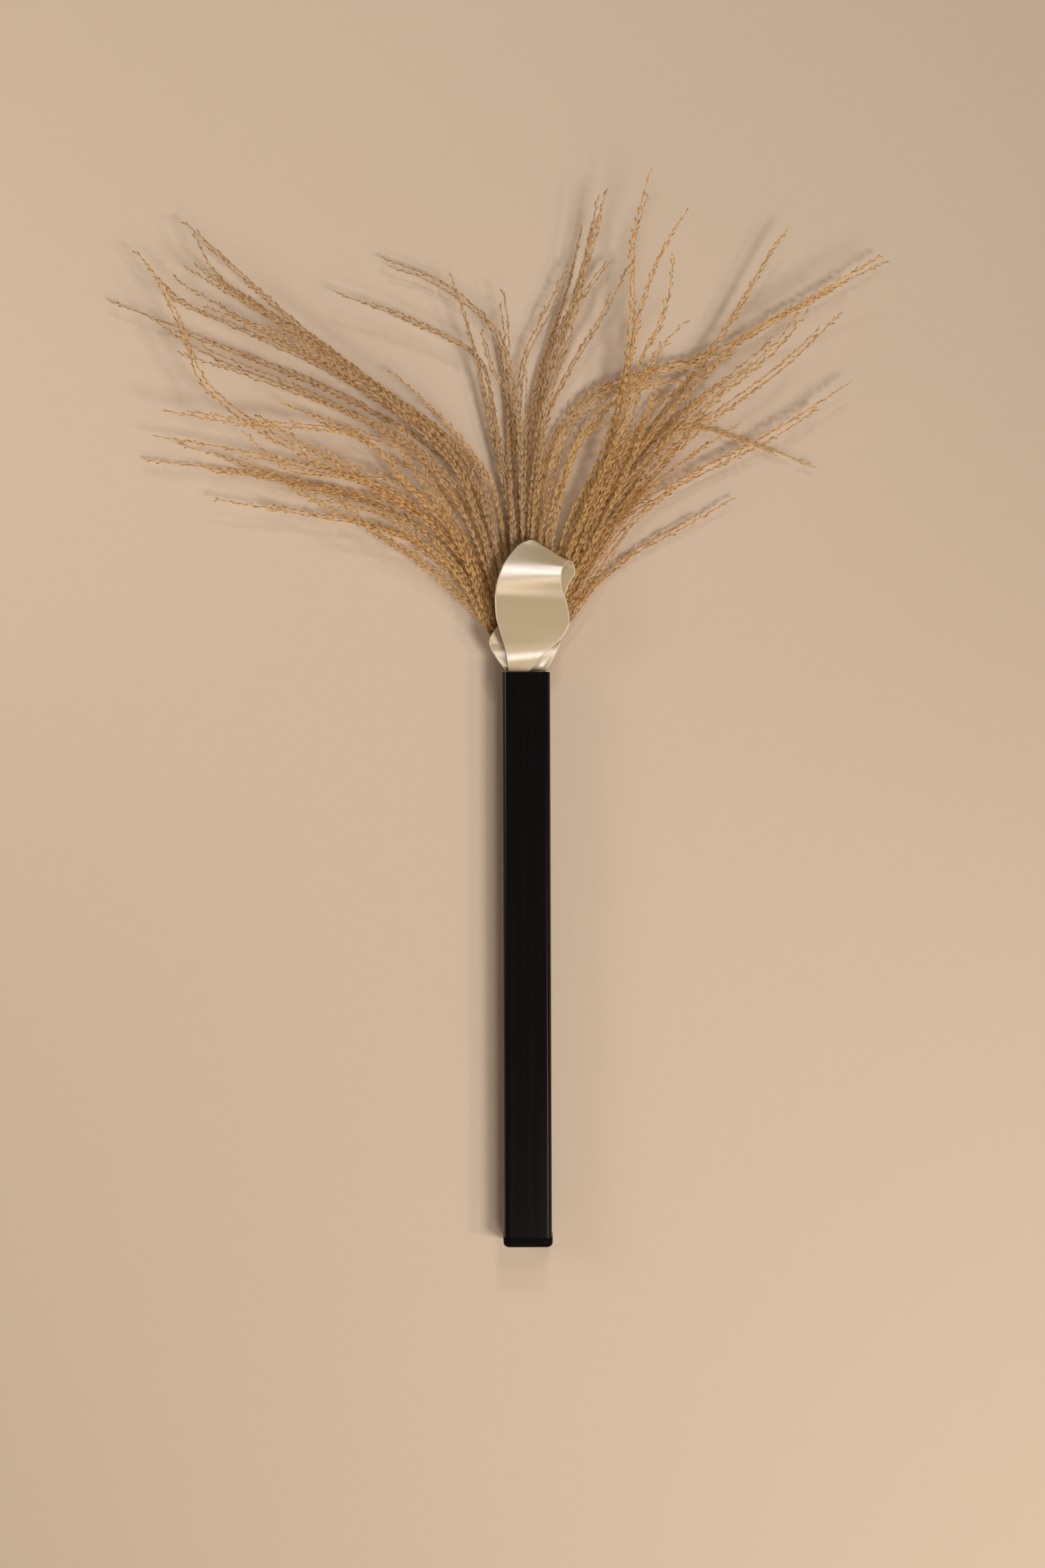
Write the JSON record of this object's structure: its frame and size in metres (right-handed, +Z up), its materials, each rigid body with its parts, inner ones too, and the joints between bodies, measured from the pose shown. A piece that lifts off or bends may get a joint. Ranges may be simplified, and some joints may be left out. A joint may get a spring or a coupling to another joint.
{
  "type": "wall vase",
  "caption": "Slim rectangular tube vase that hangs on a hooked wall plate, with a bunch of dried plume grass and a satin ribbon loop in its mouth.",
  "frame": {"origin": "middle of the wall plate's back face, on the wall", "axes": "+Z up along the tube, +X to the right as seen from the room, the room on the -Y side and the wall in the XZ plane"},
  "size_m": [0.6487, 0.0718, 0.89],
  "materials": {
    "plate_steel": "brushed sheet steel",
    "tube_lacquer": "satin black lacquer on aluminium tube",
    "cap_plastic": "matte black polyethylene",
    "pad_rubber": "soft dark rubber",
    "tie_wire": "aged brass strip",
    "ribbon_satin": "champagne satin with a woven edge",
    "culm_reed": "dry reed, slightly glossy",
    "plume_amber": "dry silky spikelets, amber brown",
    "plume_straw": "dry silky spikelets, pale straw",
    "plume_gold": "dry silky spikelets, golden brown"
  },
  "bodies": {
    "wall_plate": {"wall_plate": "plate_steel"},
    "vase": {"vase_tube": "tube_lacquer", "bottom_cap": "cap_plastic", "pad_left": "pad_rubber", "pad_right": "pad_rubber"},
    "bouquet": {"bunch_tie": "tie_wire", "culm_left_lower": "culm_reed", "culm_left_middle": "culm_reed", "culm_left_upper": "culm_reed", "culm_centre_left": "culm_reed", "culm_centre_right": "culm_reed", "culm_right_upper": "culm_reed", "culm_right_middle": "culm_reed", "culm_right_lower": "culm_reed", "plume_left_lower": "plume_amber", "plume_left_middle": "plume_amber", "plume_left_upper": "plume_amber", "plume_centre_left": "plume_straw", "plume_centre_right": "plume_straw", "plume_right_upper": "plume_gold", "plume_right_middle": "plume_gold", "plume_right_lower": "plume_gold"},
    "ribbon": {"ribbon_loop": "ribbon_satin"}
  },
  "joints": [
    {"name": "vase_lift", "type": "slide", "parent": "wall_plate", "child": "vase", "axis": [0, 0, 1], "range_m": [0, 0.009]},
    {"name": "bouquet_lift", "type": "slide", "parent": "vase", "child": "bouquet", "axis": [0, 0, 1], "range_m": [0, 0.49]},
    {"name": "ribbon_lift", "type": "slide", "parent": "vase", "child": "ribbon", "axis": [0, 0, 1], "range_m": [0, 0.045]}
  ]
}
